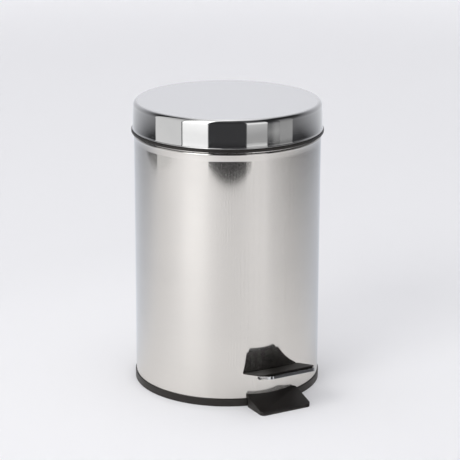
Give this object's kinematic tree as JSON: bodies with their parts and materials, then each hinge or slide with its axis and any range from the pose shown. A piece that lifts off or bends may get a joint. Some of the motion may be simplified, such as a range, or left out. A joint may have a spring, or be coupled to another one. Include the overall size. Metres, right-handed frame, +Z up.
{
  "type": "pedal bin",
  "caption": "Round steel pedal bin with a hinged lid, plastic rim and base, a foot pedal that lifts the lid through a push rod, and a lift-out bucket.",
  "frame": {"origin": "centre of the round base's underside, on the floor and on the body's axis", "axes": "+Z up; the pedal points to -Y and the hinge is at +Y; +X is to the right when the pedal is faced"},
  "size_m": [0.175, 0.2177, 0.2645],
  "materials": {
    "body_steel": "satin-polished stainless steel with fine marks round the body",
    "lid_steel": "mirror-polished stainless steel",
    "black_plastic": "black moulded plastic, satin",
    "pedal_plastic": "black moulded plastic, fine texture",
    "liner_plastic": "black moulded plastic",
    "bucket_plastic": "dark grey moulded plastic",
    "rubber": "black rubber",
    "zinc_steel": "zinc-plated steel",
    "rivet_metal": "bare aluminium",
    "lever_steel": "bright plated steel",
    "handle_wire": "bright plated wire"
  },
  "bodies": {
    "bin": {"body_shell": "body_steel", "top_rim": "black_plastic", "rim_bumpers": "rubber", "base_tray": "black_plastic", "foot_pads": "rubber", "base_screws": "zinc_steel", "floor_plate": "zinc_steel", "pivot_bracket": "zinc_steel", "bracket_rivets": "rivet_metal", "pivot_pin": "zinc_steel", "pivot_clip": "zinc_steel", "rod_guide": "black_plastic", "guide_rivets": "rivet_metal", "hinge_bracket": "black_plastic", "hinge_rivets": "rivet_metal", "hinge_pin": "zinc_steel", "hinge_clip": "zinc_steel", "inner_bucket": "bucket_plastic"},
    "lid": {"lid_shell": "lid_steel", "lid_liner": "liner_plastic", "lid_hinge": "black_plastic", "lid_rivets": "rivet_metal"},
    "pedal": {"pedal_lever": "lever_steel", "pedal_pad": "pedal_plastic", "pad_screws": "zinc_steel"},
    "rod": {"push_rod": "zinc_steel", "rod_clips": "zinc_steel"},
    "handle": {"bucket_handle": "handle_wire"}
  },
  "joints": [
    {"name": "lid_hinge", "type": "hinge", "parent": "bin", "child": "lid", "pos_m": [0, 0.091, 0.234], "axis": [-1, 0, 0], "range_deg": [0, 75]},
    {"name": "pedal_press", "type": "hinge", "parent": "bin", "child": "pedal", "pos_m": [0, -0.048, 0.0145], "axis": [1, 0, 0], "range_deg": [0, 8.24]},
    {"name": "rod_slide", "type": "slide", "parent": "bin", "child": "rod", "axis": [0, 0, 1], "range_m": [0, 0.01842]},
    {"name": "handle_lift", "type": "hinge", "parent": "bin", "child": "handle", "pos_m": [0, 0, 0.2346], "axis": [-1, 0, 0], "range_deg": [0, 20]}
  ],
  "couplings": [
    {"joint": "pedal_press", "follows": "lid_hinge", "ratio": 0.10983},
    {"joint": "rod_slide", "follows": "lid_hinge", "m_per_rad": 0.014069}
  ]
}
